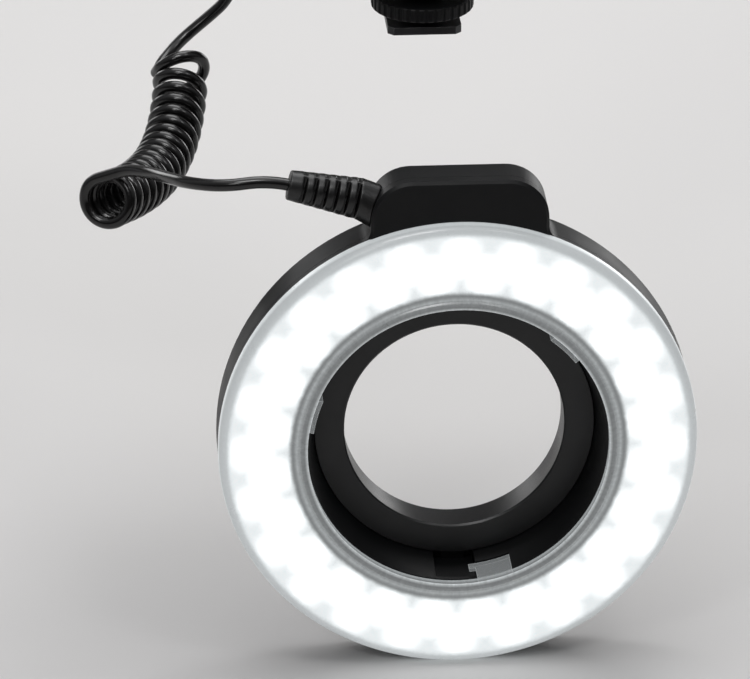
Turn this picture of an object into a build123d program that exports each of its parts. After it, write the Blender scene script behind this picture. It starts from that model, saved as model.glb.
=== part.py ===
from build123d import *
import math
import os

# Macro ring light: a ring head on a filter thread and a control unit in an accessory shoe, joined by a cord.
# Millimetres. The light shines towards -Y and +Z is up.
# The origin is the centre of the adapter ring's shoulder, where its filter thread begins.

# Ring head, across
ring_r = 58.0                  # outside of the diffuser
opening_r = 36.5               # opening inside the diffuser
bore_taper = 2.2               # how much the bore narrows towards its rear end
throat_r = opening_r - bore_taper
skirt_wall = 1.4               # diffuser's outer skirt
face_wall = 1.6                # diffuser's front face
frame_wall = 1.2               # outer wall of the front frame
funnel_wall = 1.5              # wall of the tapered bore
housing_wall = 1.3             # outer wall of the rear housing
side_step = 0.2                # black sides stand back from the diffuser by this
mould_fit = 0.2                # gap between mouldings that fit one in the other
seam = 0.1                     # gap where two shells meet
run_fit = 0.06                 # radial gap of what turns or slides

# Ring head, depths behind the plane of the diffuser's rim
head_depth = 17.0
face_drop = 0.3                # the face falls back by this towards its outer edge
skirt_depth = 4.1
frame_front = 2.6
plate_depth = 3.2              # front of the tower's plate
seam_depth = 6.4               # where front frame and rear housing meet
board_front = 7.5
board_thick = 1.6
web_wall = 1.2
rear_wall = 1.6
adapter_depth = 13.3           # face of the adapter ring
edge_round = 2.4
inner_round = 1.2              # inside corner between the face and the skirt
lip_width = 1.8
lip_step = 0.35
tab_count = 3
tab_width = 8.7
tab_thick = 0.9
tab_reach = 8.5
tab_play = 0.15                # between a tab and what lies outside it
tab_first_angle = 45.0

# LEDs
led_count = 24                 # in each of two rows
led_length = 3.2
led_width = 2.8
led_height = 1.2
led_clear = 0.22               # from a chip's corners to the wall of its cup
cup_margin = 0.1
tray_clear = 1.2               # room for the catch between the tapered bore and the tray

# Adapter ring and its catch
thread_r = 29.0
thread_length = 3.6
adapter_bore_r = 26.8
grip_ledge = 2.7               # how far the grip reaches past the bore's rear end
grip_r = throat_r + grip_ledge
grip_thick = 1.2
grip_gap = 0.3
groove_start = 1.0
groove_width = 1.0
groove_deep = 1.3
notch_count = 40
notch_r = 0.6
catch_width = 9.6
catch_gap = 0.2
catch_pad_front = 3.6
catch_pad_thick = 0.8
catch_travel = 1.8
catch_foot_front = 10.9
catch_foot_drop = 4.45
nose_thick = 0.8
nose_reach = 0.9               # into the groove
spring_r = 1.7
spring_wire = 0.4
spring_turns = 5
spring_length = 5.0

# Tower
tower_width = 42.6
tower_rise = 10.5              # above the ring's outside
tower_top = ring_r + tower_rise
tower_corner = 10.0
tower_rear = 15.1
tower_wall = 1.8
flare_r = 4.0
wire_gap = 16.0
bevel = 0.7

# Head screws
head_screw_count = 6
head_screw_pitch_r = 47.0
screw_r = 0.95
screw_head_r = 2.0
screw_head = 1.3
screw_sink = 3.0               # from the cover's front to a case screw's head
screw_bite = 8.0               # of a case screw in the main shell
cross_reach = 1.2              # of the cross recess, from its middle
cross_half = 0.25              # half the width of its arms
cross_floor = 0.7              # left under it
boss_r = 2.6

# Cord and its strain reliefs
cord_r = 1.5
cord_lead_in = 5.2             # straight run at each end of the lead
cord_tail_in = 4.2             # straight run at each end of the tail
head_outlet_rise = 3.7         # from the ring's outside up to the head's cord outlet
head_outlet_depth = 9.3        # behind the plane of the diffuser's rim
boot_big_r = 5.2
boot_small_r = 3.6
boot_length = 19.3
boot_ribs = 7
boot_slot = 0.85
boot_core_r = 1.6
boot_root = 0.5                # gap between a wall and the sleeve
boot_window = 0.72             # a window's height as a share of the sleeve there
neck_r = 2.6
neck_flange_r = 3.7
neck_flange = 2.0
neck_slack = 0.15
wall_touch = 0.05              # gap between a soft piece and the wall it bears on
outlet_drop = 6.0              # from the chamfer's upper edge to the unit's cord outlet
outlet_behind = 19.0           # from the unit's front face to the outlet

# Control unit
unit_width = 66.0
unit_height = 92.0
unit_depth = 46.0
unit_front = 87.5              # its front face, behind the origin
unit_floor = 75.0              # its underside, above the origin
unit_chamfer = 22.0
unit_corner = 8.0
unit_wall = 1.8
cover_depth = 10.0
case_boss = 12.0               # length of a screw boss
cell_r = 7.1
cell_length = 49.0
cell_nub_r = 2.7
cell_nub = 1.0
cell_gap = 0.3
holder_wall = 0.9
holder_rise = 28.7             # from the unit's underside to the battery holder
cell_spring = 3.6              # length of a cell's spring under the cell's push
plate_room = 0.5               # for the plate behind a spring
cell_spring_r = 3.6
cell_spring_wire = 0.6
door_gap = 0.3
door_pin_r = 1.0
knuckle_r = 2.4
door_lug = 2.2
contact_thick = 0.4
main_board_gap = 1.2
lcd_width = 34.0
lcd_height = 20.0
lcd_drop = 18.5                # from the unit's top down to the display's middle
window_margin = 2.0
window_thick = 1.2
button_r = 4.5
button_proud = 1.2
button_travel = 1.0
button_fit = 0.15
button_flange = 0.9
button_spacing = 14.0
lcd_to_buttons = 21.5          # from the display's middle down to the row of buttons
buttons_to_switch = 15.0       # from there down to the power switch
switch_travel = 4.0
switch_knob = 9.0
switch_high = 5.0

# Shoe foot
foot_width = 18.6
foot_length = 18.0
foot_thick = 2.0
foot_drop = 10.7               # from the unit's underside down to the foot's
foot_behind = 11.0             # from the unit's front face to the foot's middle
stem_r = 6.0
wheel_r = 13.0
wheel_thick = 3.6
wheel_gap = 2.6                # room for the shoe's rails
wheel_teeth = 36

front_y = -(head_depth + grip_gap + grip_thick)


def at(depth):
    """Y of a depth behind the plane of the diffuser's rim."""
    return front_y + depth


def ring(points, rounds=()):
    """Turn an outline of (radius, y) points about the Y axis; rounds are (point number, radius)."""
    face = make_face(Polyline(*points, close=True))
    for number, size in rounds:
        spot = Vector(*points[number])
        corner = min(face.vertices(), key=lambda v: (Vector(*v) - spot).length)
        face = fillet(corner, size)
    return revolve(face, Axis.Y)


def tube(outer, inner, y0, y1):
    return ring([(inner, y0), (outer, y0), (outer, y1), (inner, y1)])


def disc(radius, y0, y1, x=0.0, z=0.0):
    """Cylinder along Y."""
    return Pos(x, (y0 + y1) / 2, z) * Rot(90, 0, 0) * Cylinder(radius, y1 - y0)


def post(radius, z0, z1, x=0.0, y=0.0):
    """Cylinder along Z."""
    return Pos(x, y, (z0 + z1) / 2) * Cylinder(radius, z1 - z0)


def block(x0, x1, y0, y1, z0, z1):
    return Pos((x0 + x1) / 2, (y0 + y1) / 2, (z0 + z1) / 2) * Box(x1 - x0, y1 - y0, z1 - z0)


def slab(outline, y0, y1):
    """Extrude an outline drawn as (x, z) from y0 to y1."""
    plane = Plane(origin=(0, y0, 0), x_dir=(1, 0, 0), z_dir=(0, -1, 0))
    return extrude(plane * outline, -(y1 - y0))


def turned(shape, angle):
    """Turn a shape about the Y axis, from +X towards +Z."""
    return Rot(0, -angle, 0) * shape


def polar(radius, angle):
    return radius * math.cos(math.radians(angle)), radius * math.sin(math.radians(angle))


parts = {}
boss_inner_r = ring_r - skirt_wall - mould_fit          # outside of the frame's wall
tray_r = boss_inner_r - frame_wall - mould_fit
side_r = ring_r - side_step
board_back = board_front + board_thick
catch_top = opening_r - mould_fit + tab_play            # inner face of the catch's pad
web_front = board_back + seam
web_back = web_front + web_wall
rear_plate = head_depth - rear_wall
adapter_r = throat_r - 0.3 - run_fit
adapter_bore_in_head = adapter_r + run_fit


def funnel_r(depth):
    """Radius of the tapered bore at a depth."""
    share = (depth - frame_front) / (adapter_depth - frame_front)
    return (opening_r - mould_fit) + (throat_r - opening_r + mould_fit) * min(1.0, share)


tray_inner_r = funnel_r(frame_front) + funnel_wall + mould_fit + tray_clear
cup_r = (tray_r - tray_inner_r) / 4                     # two rows of cups fill the tray's width
cup_floor_r = math.hypot(led_length, led_width) / 2 + led_clear
outer_row_r = tray_r - cup_r - cup_margin
inner_row_r = tray_inner_r + cup_r + cup_margin


def tower_outline(inset):
    """Front view of the tower, from the ring's centre up, with flared feet at inset 0."""
    half = tower_width / 2 - inset
    top = tower_top - inset
    corner = tower_corner - inset
    box = Pos(0, top / 2) * Rectangle(2 * half, top)
    return fillet(box.vertices().group_by(Axis.Y)[-1], corner)


def flares():
    """Fillets between the tower's sides and the round of the ring."""
    half = tower_width / 2
    reach = side_r + flare_r
    cx = half + flare_r
    cz = math.sqrt(reach ** 2 - cx ** 2)
    foot = (cx * side_r / reach, cz * side_r / reach)
    shape = None
    for side in (-1, 1):
        corners = [(half - 2, cz), (half, cz), foot, (half - 2, foot[1] - 3)]
        wedge = make_face(Polyline(*[(side * x, z) for x, z in corners], close=True))
        wedge = wedge - Pos(side * cx, cz) * Circle(flare_r)
        shape = wedge if shape is None else shape + wedge
    return shape


def make_diffuser():
    back = skirt_depth
    inside = ring_r - skirt_wall
    outline = [
        (opening_r, at(frame_front - mould_fit)), (opening_r, at(0.0)), (opening_r + lip_width, at(0.0)),
        (opening_r + lip_width + lip_step, at(lip_step)), (ring_r, at(face_drop)), (ring_r, at(back)),
        (inside, at(back)), (inside, at(face_drop + face_wall)),
        (opening_r + face_wall, at(lip_step + face_wall)),
        (opening_r + face_wall, at(frame_front - mould_fit)),
    ]
    body = ring(outline, [(4, edge_round), (7, inner_round), (1, lip_step)])
    outer = opening_r - mould_fit
    inner = outer - tab_thick
    strip = tube(outer, inner, at(face_drop), at(tab_reach))
    root = tube(opening_r + lip_step, inner, at(face_drop), at(frame_front - mould_fit))
    keep = block(0, ring_r, at(0), at(tab_reach), -tab_width / 2, tab_width / 2)
    hook = block(0, ring_r, at(tab_reach - 2.4), at(tab_reach), -tab_width / 2 - 1.6, tab_width / 2)
    tab = (strip & (keep + hook)) + (root & keep)
    for number in range(tab_count):
        body = body + turned(tab, tab_first_angle + 360.0 / tab_count * number)
    parts["diffuser"] = body


def tab_room():
    """Recesses that the diffuser's tabs slide into."""
    outer = opening_r - mould_fit + tab_play
    room = tube(outer, outer - tab_thick - 1.5, at(frame_front - 1), at(tab_reach + 0.4))
    keep = block(0, ring_r, at(0), at(tab_reach + 0.4), -tab_width / 2 - 1.8, tab_width / 2 + 0.2)
    piece = room & keep
    return [turned(piece, tab_first_angle + 360.0 / tab_count * number) for number in range(tab_count)]


def catch_slot():
    """Opening for the catch through the funnel and the web, at the foot of the bore."""
    half = catch_width / 2 + catch_gap
    low = catch_top + catch_pad_thick + catch_travel + catch_gap
    return block(-half, half, at(catch_pad_front - catch_gap), at(rear_plate), -low, -throat_r + 3)


def make_front_frame():
    front = at(frame_front)
    wall_front = at(face_drop + face_wall + inner_round)
    wall_in = boss_inner_r - frame_wall
    outline = [
        (funnel_r(frame_front), front), (funnel_r(frame_front) + funnel_wall, front),
        (funnel_r(web_front) + funnel_wall, at(web_front)), (wall_in, at(web_front)), (wall_in, wall_front),
        (boss_inner_r, wall_front), (boss_inner_r, at(skirt_depth + seam)), (side_r, at(skirt_depth + seam)),
        (side_r, at(seam_depth)), (boss_inner_r, at(seam_depth)), (boss_inner_r, at(web_back)),
        (funnel_r(web_back) + funnel_wall, at(web_back)), (throat_r + funnel_wall, at(adapter_depth)),
        (throat_r + funnel_wall, at(rear_plate - seam)), (throat_r, at(rear_plate - seam)),
        (throat_r, at(adapter_depth)),
    ]
    body = ring(outline)
    plate = slab(tower_outline(0) + flares(), at(plate_depth), at(seam_depth))
    front_edges = [e for e in plate.edges().group_by(Axis.Y)[0] if e.center().Z > side_r]
    plate = chamfer(front_edges, bevel)
    plate = plate - disc(boss_inner_r - 0.5, at(plate_depth) - 1, at(seam_depth) + 1)
    plate = plate - disc(ring_r + mould_fit, at(plate_depth) - 1, at(skirt_depth + seam))
    pocket = slab(tower_outline(tower_wall), at(plate_depth + tower_wall), at(seam_depth) + 1)
    body = body + (plate - (pocket - disc(side_r + 0.6, at(0), at(head_depth))))
    body = body - block(-wire_gap / 2, wire_gap / 2, at(seam_depth), at(web_back) + 1, wall_in - 1, ring_r)
    for number in range(head_screw_count):
        x, z = polar(head_screw_pitch_r, 360.0 / head_screw_count * number)
        body = body + disc(boss_r, at(web_back) - 0.2, at(rear_plate - 1.4), x, z)
        body = body - disc(screw_r + run_fit, at(web_back) + 0.3, at(rear_plate), x, z)
    for room in tab_room():
        body = body - room
    parts["head_front_frame"] = body - catch_slot()


def boot_place():
    """Where the head's strain relief leaves the tower, and which way."""
    start = Vector(-tower_width / 2, at(head_outlet_depth), ring_r + head_outlet_rise)
    return start, Vector(-0.975, 0.03, 0.218).normalized()


def make_rear_housing():
    shell_in = side_r - housing_wall
    outline = [
        (shell_in, at(seam_depth + seam)), (side_r, at(seam_depth + seam)), (side_r, at(head_depth)),
        (adapter_bore_in_head, at(head_depth)), (adapter_bore_in_head, at(rear_plate)),
        (shell_in, at(rear_plate)),
    ]
    body = ring(outline, [(2, 2.0), (5, 0.9)])
    box = slab(tower_outline(0) + flares(), at(seam_depth + seam), at(tower_rear))
    back_edges = [e for e in box.edges().group_by(Axis.Y)[-1] if e.center().Z > side_r]
    box = fillet(back_edges, 1.6)
    box = box - disc(shell_in + 0.4, at(seam_depth), at(tower_rear) + 1)
    cavity = slab(tower_outline(tower_wall), at(seam_depth) - 1, at(tower_rear - tower_wall))
    body = body + (box - (cavity - disc(side_r, at(0), at(head_depth))))
    body = body - block(-wire_gap / 2, wire_gap / 2, at(seam_depth) - 1, at(tower_rear - tower_wall),
                        shell_in - 1, side_r + 1)
    for number in range(head_screw_count):
        x, z = polar(head_screw_pitch_r, 360.0 / head_screw_count * number)
        body = body + disc(boss_r, at(rear_plate - 1.3), at(rear_plate) + 0.2, x, z)
        body = body - disc(screw_r + 0.25, at(rear_plate - 2), at(head_depth) + 1, x, z)
        body = body - disc(screw_head_r + 0.2, at(rear_plate), at(head_depth) + 1, x, z)
    start, way = boot_place()
    hole = Plane(origin=start, z_dir=way) * Cylinder(neck_r + neck_slack, 4 * tower_wall)
    body = body - hole
    seat = spring_seat()
    body = body + block(-3, 3, seat[1] - 2.3, at(rear_plate) + 0.2, seat[2] - 2, seat[2])
    parts["head_rear_housing"] = body


def spring_seat():
    """Foot of the catch's spring."""
    middle = at((catch_foot_front + rear_plate) / 2)
    return 0.0, middle, -(catch_top + catch_pad_thick + catch_foot_drop + spring_length)


def make_reflector_tray():
    floor = board_front - led_height * 0.25
    body = tube(tray_r, tray_inner_r, at(frame_front + 0.6), at(board_front))
    depth = board_front - frame_front - 0.6
    cone = Rot(-90, 0, 0) * Cone(cup_floor_r, cup_r, depth)
    middle = at((board_front + frame_front + 0.6) / 2)
    step = 360.0 / led_count
    cups = []
    for number in range(led_count):
        for radius, shift in ((outer_row_r, 0.0), (inner_row_r, 0.5)):
            x, z = polar(radius, step * (number + shift))
            cups.append(Pos(x, middle, z) * Rot(180, 0, 0) * cone)
    parts["reflector_tray"] = body - cups


def make_led_board():
    parts["led_board"] = tube(tray_r, tray_inner_r, at(board_front), at(board_back))


def make_leds():
    step = 360.0 / led_count
    rows = {"led_chips_outer": (outer_row_r, 0.0), "led_chips_inner": (inner_row_r, 0.5)}
    for name, (radius, shift) in rows.items():
        chip = block(radius - led_width / 2, radius + led_width / 2, at(board_front - led_height),
                     at(board_front), -led_length / 2, led_length / 2)
        chips = [turned(chip, step * (number + shift)) for number in range(led_count)]
        parts[name] = Compound(children=chips)


def make_adapter():
    face = at(adapter_depth)
    groove = face + groove_start
    outline = [
        (adapter_bore_r, face + 0.4), (adapter_bore_r + 0.4, face), (adapter_r, face), (adapter_r, groove),
        (adapter_r - groove_deep, groove), (adapter_r - groove_deep, groove + groove_width),
        (adapter_r, groove + groove_width), (adapter_r, at(head_depth) + grip_gap),
        (grip_r, at(head_depth) + grip_gap), (grip_r, 0.0),
        (thread_r, 0.0), (thread_r, thread_length), (adapter_bore_r, thread_length),
    ]
    body = ring(outline)
    notches = []
    for number in range(notch_count):
        x, z = polar(grip_r + 0.25, 360.0 / notch_count * number)
        notches.append(disc(notch_r, -grip_thick - 0.1, 0.1, x, z))
    parts["adapter_ring"] = body - notches


def make_catch():
    half = catch_width / 2
    low = catch_top + catch_pad_thick
    foot_low = low + catch_foot_drop
    root = -(catch_top + low) / 2
    pad = tube(low, catch_top, at(catch_pad_front), at(rear_plate - 0.2))
    pad = pad & block(-half, half, at(catch_pad_front), at(rear_plate), -low, 0)
    foot = block(-half + 1.5, half - 1.5, at(catch_foot_front), at(rear_plate - 0.2), -foot_low, root)
    nose_front = adapter_depth + groove_start + (groove_width - nose_thick) / 2
    nose = block(-half + 2, half - 2, at(nose_front), at(nose_front + nose_thick), root,
                 -adapter_r + nose_reach)
    body = pad + foot + nose
    seat = spring_seat()
    parts["adapter_catch"] = body - post(spring_r + spring_wire, -foot_low - 1, -foot_low + 1.0, 0, seat[1])


def biarc(p0, t0, p1, t1):
    """Two arcs from p0 along t0 to p1 along t1, tangent where they meet."""
    v = p1 - p0
    t = t0 + t1
    a = 2 * (1 - t0.dot(t1))
    b = 2 * v.dot(t)
    c = -v.dot(v)
    if a < 1e-9:
        reach = -c / b
    else:
        reach = (-b + math.sqrt(b * b - 4 * a * c)) / (2 * a)
    q0 = p0 + t0 * reach
    q1 = p1 - t1 * reach
    middle = (q0 + q1) * 0.5
    first = TangentArc(p0, middle, tangent=t0)
    second = TangentArc(middle, p1, tangent=(q1 - q0))
    return [first.edge(), second.edge()]


def wound_path(places, ways, stub):
    """Path through places with given ways, by biarcs, with a straight stub at each end."""
    edges = [Line(places[0] - ways[0] * stub, places[0]).edge()]
    for number in range(len(places) - 1):
        edges += biarc(places[number], ways[number], places[number + 1], ways[number + 1])
    edges.append(Line(places[-1], places[-1] + ways[-1] * stub).edge())
    return Wire(edges)


def swept(path, radius):
    start = path @ 0
    way = path % 0
    return sweep(Plane(origin=start, z_dir=way) * Circle(radius), path=path)


def straight_spring(foot, turns, length, radius, wire):
    """Spring standing on a point, wound about Z."""
    steps = turns * 4
    places = []
    ways = []
    for number in range(steps + 1):
        angle = math.pi / 2 * number
        rise = wire / 2 + (length - wire) * number / steps
        slope = (length - wire) / turns / (2 * math.pi)
        places.append(Vector(radius * math.cos(angle), radius * math.sin(angle), rise) + foot)
        ways.append(Vector(-radius * math.sin(angle), radius * math.cos(angle), slope).normalized())
    return swept(wound_path(places, ways, wire), wire / 2)


def make_catch_spring():
    seat = Vector(*spring_seat())
    foot_low = catch_top + catch_pad_thick + catch_foot_drop
    length = -foot_low + 1.0 - seat.Z
    parts["catch_spring"] = straight_spring(seat, spring_turns, length - 0.1, spring_r, spring_wire)


def tower_floor():
    """Height inside the tower above the ring's wall."""
    return side_r + mould_fit


def make_tower_inside():
    half = tower_width / 2 - tower_wall
    low = tower_floor() + 0.6
    high = tower_top - tower_wall - 1.0
    front = at(seam_depth + 0.6)
    board = block(-half + 7.5, half - 5, front, front + 1.2, low, high)
    rear = at(tower_rear - tower_wall)
    board_seats = [disc(1.4, front + 1.2, rear, x, (low + high) / 2) for x in (-9.0, 12.0)]
    parts["driver_board"] = board + board_seats
    chips = [
        block(-6.5, -1.5, front - 1.0, front, low + 1.2, low + 5.2),
        block(0.5, 4.5, front - 1.2, front, low + 1.0, low + 6.0),
        block(-5.0, -2.0, front + 1.2, front + 2.6, low + 2.0, low + 5.0),
        disc(2.6, front + 1.2, front + 4.6, 5.0, low + 3.6),
    ]
    parts["driver_parts"] = Compound(children=chips)
    clamp = block(-half + 2.5, -half + 6.0, rear - 3.2, rear, low, low + 2.4)
    parts["cord_clamp"] = clamp


def make_head_wires():
    low = tower_floor() + 0.6
    wires = []
    for number in range(4):
        x = -4.5 + 3.0 * number
        top = Vector(x, at(web_back + 1.9), low + 1.0)
        bend = Vector(x, at(web_back + 1.9), side_r - 6.5)
        foot = Vector(x, at(web_back + 0.35), side_r - 8.5 - 1.2 * number)
        path = FilletPolyline(top, bend, foot, radius=0.9)
        wires.append(sweep(Plane(origin=top, z_dir=path % 0) * Circle(0.35), path=path))
    parts["head_wires"] = Compound(children=wires)


def cross_screw(x, z, tip, seat):
    """Screw along Y with a cross recess, from its tip to the seat of its head and on."""
    body = disc(screw_head_r, seat, seat + screw_head, x, z) + disc(screw_r, tip, seat + 0.1, x, z)
    floor = seat + cross_floor
    out = seat + 2 * screw_head
    for across, upright in ((cross_reach, cross_half), (cross_half, cross_reach)):
        body = body - block(x - across, x + across, floor, out, z - upright, z + upright)
    return body


def make_head_screws():
    step = 360.0 / head_screw_count
    places = [polar(head_screw_pitch_r, step * number) for number in range(head_screw_count)]
    screws = [cross_screw(x, z, at(web_back) + 0.5, at(rear_plate)) for x, z in places]
    parts["head_screws"] = Compound(children=screws)


def along_x(radius, x0, x1):
    """Cylinder along X."""
    return Pos((x0 + x1) / 2, 0, 0) * Rot(0, 90, 0) * Cylinder(radius, x1 - x0)


def boot_sleeve():
    """Ribbed sleeve along +X from a wall's outside at the origin, with windows between its ribs."""
    cone = Cone(boot_big_r, boot_small_r, boot_length)
    body = Pos(boot_root + boot_length / 2, 0, 0) * Rot(0, 90, 0) * cone
    pitch = boot_length / (boot_ribs + 0.5)
    for number in range(boot_ribs - 1):
        x = boot_root + pitch * (number + 1.1)
        radius = boot_big_r + (boot_small_r - boot_big_r) * (x - boot_root) / boot_length
        slot = SlotOverall(2 * radius * boot_window, boot_slot)
        window = extrude(Plane.XZ.offset(boot_core_r) * Pos(x, 0) * Rot(0, 0, 90) * slot, boot_big_r)
        body = body - window - mirror(window, Plane.XZ)
    return body


def boot_neck(wall):
    """Neck through a wall that lies from -wall to 0 along X."""
    return along_x(neck_r, -wall - neck_flange + 0.3, boot_root + 0.1)


def boot_flange(wall):
    """Collar inside the wall that keeps the boot from being pulled out."""
    return along_x(neck_flange_r, -wall - neck_flange - 0.1, -wall - 0.1)


def place_boot(shape, start, way):
    """Stand a boot made along +X on a start point, pointing a way, its windows kept upright."""
    side = Vector(0, 0, 1).cross(way).normalized()
    return Plane(origin=start, x_dir=way, z_dir=way.cross(side)) * shape


def boot_end(start, way):
    return start + way * (boot_root + boot_length)


def outlet_place():
    """Middle of the control unit's cord outlet, on its chamfer, and which way it points."""
    down = outlet_drop / math.sqrt(2)
    place = Vector(-unit_width / 2 + down, unit_front + outlet_behind, unit_floor + unit_chamfer - down)
    return place, Vector(-1, 0, -1).normalized()


# The cord's route, chosen by hand.
# The lead runs from the head's boot to the coil, and the tail from the coil to the unit.
lead_points = [
    (-55.8, -8.0, 66.4), (-64.0, -2.4, 63.8), (-68.1, 6.7, 61.0), (-71.4, 15.8, 58.5),
]
tail_points = [
    (-53.0, 106.4, 64.3), (-50.6, 106.7, 68.5), (-48.4, 106.6, 72.2),
]
# Line that the coil winds about: a smooth curve through its first and last point.
coil_axis = [(-83.2, 25.3, 47.9), (-67.8, 48.7, 41.6), (-60.0, 72.7, 40.0), (-62.2, 98.3, 60.2)]
coil_turns = 17.5
coil_r = 5.45
coil_pitch = 3.75
coil_mouth = 0.75              # how much wider its first turn is
coil_lift_turn = 16.9          # the turn where it starts to lift away
coil_lift = 26.0
coil_start_side = (0.0, 0.43, 0.90)  # side of its line on which the first turn starts


def curve_point(share):
    a, b, c, d = [Vector(*p) for p in coil_axis]
    rest = 1 - share
    return a * rest ** 3 + b * (3 * rest ** 2 * share) + c * (3 * rest * share ** 2) + d * share ** 3


def curve_way(share):
    a, b, c, d = [Vector(*p) for p in coil_axis]
    rest = 1 - share
    way = (b - a) * rest ** 2 + (c - b) * (2 * rest * share) + (d - c) * share ** 2
    return way.normalized()


def coil_frames(count):
    """Places along the coil's line, with a sideways direction that doesn't twist, and the length so far."""
    frames = []
    up = Vector(*coil_start_side)
    length = 0.0
    last = curve_point(0.0)
    for number in range(count + 1):
        share = number / count
        place = curve_point(share)
        way = curve_way(share)
        up = (up - way * up.dot(way)).normalized()
        length += (place - last).length
        last = place
        frames.append((length, place, way, up))
    return frames


def coil_advance(turn):
    return coil_pitch * turn + 0.02 * turn ** 2 + coil_lift * max(0.0, turn - coil_lift_turn) ** 2


def coil_radius(turn):
    return coil_r + coil_mouth * max(0.0, 1 - turn / 1.5) ** 2 + 0.25 * max(0.0, turn - coil_turns + 1.5)


def coil_point(turn, frames):
    total = frames[-1][0]
    reach = coil_advance(turn) * total / coil_advance(coil_turns)
    number = min(range(len(frames) - 1), key=lambda n: abs(frames[n][0] - reach))
    length, place, way, up = frames[number]
    place = place + way * (reach - length)
    across = way.cross(up)
    angle = 2 * math.pi * turn
    return place + (up * math.cos(angle) - across * math.sin(angle)) * coil_radius(turn)


def coil_places():
    """Points and directions every quarter turn."""
    frames = coil_frames(2000)
    steps = round(coil_turns * 4)
    places = []
    ways = []
    small = 1e-3
    for number in range(steps + 1):
        turn = number / 4
        before = coil_point(max(0.0, turn - small), frames)
        after = coil_point(min(coil_turns, turn + small), frames)
        places.append(coil_point(turn, frames))
        ways.append((after - before).normalized())
    return places, ways


def least_self_gap(path, radius, turns):
    """Least gap between turns, on points along the path, leaving out what lies within half a turn."""
    count = turns * 40
    spots = [path @ (number / count) for number in range(count + 1)]
    skip = 24
    least = min((spots[i] - spots[j]).length for i in range(count + 1) for j in range(i + skip, count + 1))
    return least - 2 * radius


def cord_tube(points, name):
    """Straight runs joined by arcs as large as the runs allow."""
    runs = [(points[n + 1] - points[n]).length for n in range(len(points) - 1)]
    radii = []
    for number in range(1, len(points) - 1):
        turn = (points[number] - points[number - 1]).get_angle(points[number + 1] - points[number])
        short = min(runs[number - 1], runs[number])
        radii.append(0.45 * short / math.tan(math.radians(turn) / 2))
    print(name, "runs", [round(r, 1) for r in runs], "radii", [round(r, 1) for r in radii])
    path = FilletPolyline(*points, radius=radii)
    solid = sweep(Plane(origin=points[0], z_dir=points[1] - points[0]) * Circle(cord_r), path=path)
    ratio = solid.volume / (math.pi * cord_r ** 2 * path.length)
    print(name, "length", round(path.length, 1), "volume over section times length", round(ratio, 4))
    return solid


def make_cord():
    places, ways = coil_places()
    stub = 2 * cord_r
    coil_path = wound_path(places, ways, stub)
    coil = swept(coil_path, cord_r)
    print("curly_cord length", round(coil_path.length, 1), "least gap to itself",
          round(least_self_gap(coil_path, cord_r, round(coil_turns)), 2))
    parts["curly_cord"] = coil
    start, way = boot_place()
    out = boot_end(start, way)
    coil_start = places[0] - ways[0] * stub
    lead = [out, out + way * cord_lead_in] + [Vector(*p) for p in lead_points]
    lead += [coil_start - ways[0] * cord_lead_in, coil_start]
    parts["cord_lead"] = cord_tube(lead, "cord_lead")
    outlet, outlet_way = outlet_place()
    back = boot_end(outlet, outlet_way)
    coil_end = places[-1] + ways[-1] * stub
    tail = [coil_end, coil_end + ways[-1] * cord_tail_in] + [Vector(*p) for p in tail_points]
    tail += [back + outlet_way * cord_tail_in, back]
    parts["cord_tail"] = cord_tube(tail, "cord_tail")


def make_boots():
    start, way = boot_place()
    outside = -tower_width / 2 - wall_touch
    sleeve = place_boot(boot_sleeve(), start, way) - block(outside, 0, front_y, 0, 0, 2 * tower_top)
    room = slab(tower_outline(tower_wall + wall_touch), at(plate_depth + tower_wall) + wall_touch,
                at(tower_rear - tower_wall) - wall_touch)
    flange = place_boot(boot_flange(tower_wall), start, way) & room
    parts["head_boot"] = sleeve + place_boot(boot_neck(tower_wall), start, way) + flange
    outlet, outlet_way = outlet_place()
    whole = boot_sleeve() + boot_neck(unit_wall) + boot_flange(unit_wall)
    parts["unit_boot"] = place_boot(whole, outlet, outlet_way)


# Control unit
unit_back = unit_front + unit_depth
unit_top = unit_floor + unit_height
cover_front = unit_back - cover_depth
holder_high = 2 * (2 * cell_r + cell_gap) + cell_gap + 2 * holder_wall
holder_front = unit_front + unit_wall + 0.4
holder_back = holder_front + holder_high
holder_floor = unit_floor + holder_rise
holder_right = unit_width / 2 - unit_wall - door_gap
contact_face = unit_width / 2 - unit_wall - wall_touch - contact_thick    # inner face of the door's contacts
cell_end = contact_face - wall_touch
holder_left = cell_end - cell_length - cell_nub - cell_spring - plate_room - holder_wall
board_y = cover_front - main_board_gap
lcd_middle = unit_top - lcd_drop
button_row = lcd_middle - lcd_to_buttons
switch_row = button_row - buttons_to_switch
foot_base = unit_floor - foot_drop


def unit_outline(inset):
    """Front view of the unit: chamfered towards its foot, round at the top."""
    half = unit_width / 2 - inset
    low = unit_floor + inset
    top = unit_top - inset
    cut = unit_chamfer - inset * (2 - math.sqrt(2))
    outline = make_face(Polyline((-half + cut, low), (half - cut, low), (half, low + cut), (half, top),
                                 (-half, top), (-half, low + cut), close=True))
    return fillet(outline.vertices().group_by(Axis.Y)[-1], unit_corner - inset)


def cover_bosses():
    """Middle of each case screw."""
    x = unit_width / 2 - unit_wall - boss_r + 0.4
    low = unit_floor + unit_wall + boss_r + 1.6
    low_x = unit_width / 2 - unit_chamfer + 1.0
    high = unit_top - unit_corner - 2.5
    return [(-low_x, low), (low_x, low), (-x, high), (x, high)]


def door_box(grow):
    """Battery door's opening in the right side, as y and z limits."""
    pin_z = door_axis()[1]
    return (holder_front + 0.5 - grow, holder_back - 0.3 + grow, pin_z - knuckle_r - door_gap - grow,
            holder_floor + holder_high - 0.3 + grow)


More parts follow.
